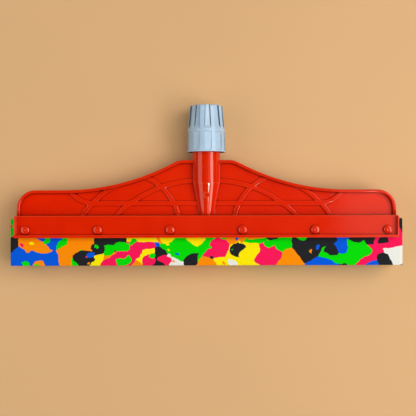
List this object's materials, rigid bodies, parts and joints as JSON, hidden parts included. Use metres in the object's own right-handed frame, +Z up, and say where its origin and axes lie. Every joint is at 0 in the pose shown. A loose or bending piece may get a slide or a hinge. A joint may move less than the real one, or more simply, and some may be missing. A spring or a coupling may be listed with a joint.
{
  "type": "floor squeegee",
  "caption": "Wide floor squeegee head with foam blades riveted between clamp bars, a ribbed frame and a tapered pole socket with a fluted screw lock cap.",
  "frame": {"origin": "on the floor under the middle of the part as it lies on its back", "axes": "+X along the blades, +Y from the wiping edge towards the pole socket's mouth, +Z up out of the floor through the front face"},
  "size_m": [0.4, 0.1642, 0.0394],
  "materials": {
    "frame_plastic": "glossy red moulded polypropylene",
    "blade_foam": "matt closed-cell foam pressed from chips of many colours",
    "collet_plastic": "natural white moulded plastic",
    "cap_plastic": "satin light blue-grey moulded plastic"
  },
  "bodies": {
    "head": {"head_frame": "frame_plastic", "front_clamp_bar": "frame_plastic", "rear_clamp_bar": "frame_plastic", "front_foam_blade": "blade_foam", "rear_foam_blade": "blade_foam", "clamp_rivets": "frame_plastic"},
    "collet": {"split_collet": "collet_plastic"},
    "cap": {"lock_cap": "cap_plastic"}
  },
  "joints": [
    {"name": "collet_lift", "type": "slide", "parent": "head", "child": "collet", "axis": [0, 1, 0], "range_m": [0, 0.01]},
    {"name": "cap_turn", "type": "hinge", "parent": "collet", "child": "cap", "pos_m": [0, 0.058, 0.0197], "axis": [0, 1, 0], "range_deg": [0, 900]}
  ],
  "couplings": [
    {"joint": "collet_lift", "follows": "cap_turn", "m_per_rad": 0.00063662}
  ]
}
